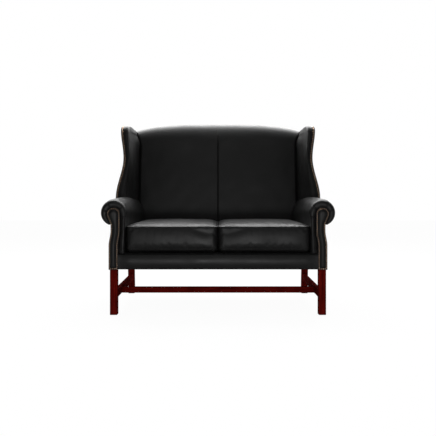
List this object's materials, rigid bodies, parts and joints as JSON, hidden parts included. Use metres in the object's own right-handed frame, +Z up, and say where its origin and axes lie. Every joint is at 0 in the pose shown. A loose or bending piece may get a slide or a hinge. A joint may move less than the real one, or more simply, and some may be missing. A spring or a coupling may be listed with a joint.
{
  "type": "high back settee",
  "caption": "High back wing settee in black leather, with scroll arms, a camel back, loose seat cushions, nail trim and square legs joined by an H stretcher.",
  "frame": {"origin": "on the floor, under the middle of the settee's overall box", "axes": "+X to the right of someone facing the settee, -Y the way the seat faces, +Z up"},
  "size_m": [1.3194, 0.7974, 1.144],
  "materials": {
    "leather": "satin",
    "mahogany": "satin",
    "beech": "matte",
    "nails": "satin",
    "spring_steel": "satin",
    "lining": "matte",
    "webbing": "matte",
    "foam": "matte"
  },
  "bodies": {
    "frame": {"arm_board_left": "beech", "arm_board_right": "beech", "arm_border_left": "leather", "arm_border_right": "leather", "arm_facing_left": "leather", "arm_facing_right": "leather", "arm_stump_left": "beech", "arm_stump_right": "beech", "back_centre_upright": "beech", "back_lower_rail": "beech", "back_post_left": "beech", "back_post_right": "beech", "back_top_rail": "beech", "back_webbing": "webbing", "centre_rail": "beech", "corner_block_front_left": "beech", "corner_block_front_right": "beech", "corner_block_rear_left": "beech", "corner_block_rear_right": "beech", "cross_stretcher": "mahogany", "dust_cover": "lining", "facing_nails_left": "nails", "facing_nails_right": "nails", "front_border": "leather", "front_leg_left": "mahogany", "front_leg_right": "mahogany", "front_rail": "beech", "inside_arm_left": "leather", "inside_arm_right": "leather", "inside_back_left": "leather", "inside_back_right": "leather", "inside_wing_left": "leather", "inside_wing_right": "leather", "outside_arm_left": "leather", "outside_arm_right": "leather", "outside_back": "leather", "outside_wing_left": "leather", "outside_wing_right": "leather", "rear_leg_left": "mahogany", "rear_leg_right": "mahogany", "rear_rail": "beech", "seat_deck": "lining", "seat_springs_left": "spring_steel", "seat_springs_right": "spring_steel", "side_rail_left": "beech", "side_rail_right": "beech", "side_stretcher_left": "mahogany", "side_stretcher_right": "mahogany", "wing_board_left": "beech", "wing_board_right": "beech", "wing_nails_left": "nails", "wing_nails_right": "nails"},
    "cushion_left": {"cushion_core_left": "foam", "cushion_cover_left": "leather", "cushion_zip_left": "lining"},
    "cushion_right": {"cushion_core_right": "foam", "cushion_cover_right": "leather", "cushion_zip_right": "lining"}
  },
  "joints": [
    {"name": "cushion_left_lift", "type": "slide", "parent": "frame", "child": "cushion_left", "axis": [0, 0, 1], "range_m": [0, 0.81]},
    {"name": "cushion_right_lift", "type": "slide", "parent": "frame", "child": "cushion_right", "axis": [0, 0, 1], "range_m": [0, 0.81]}
  ]
}
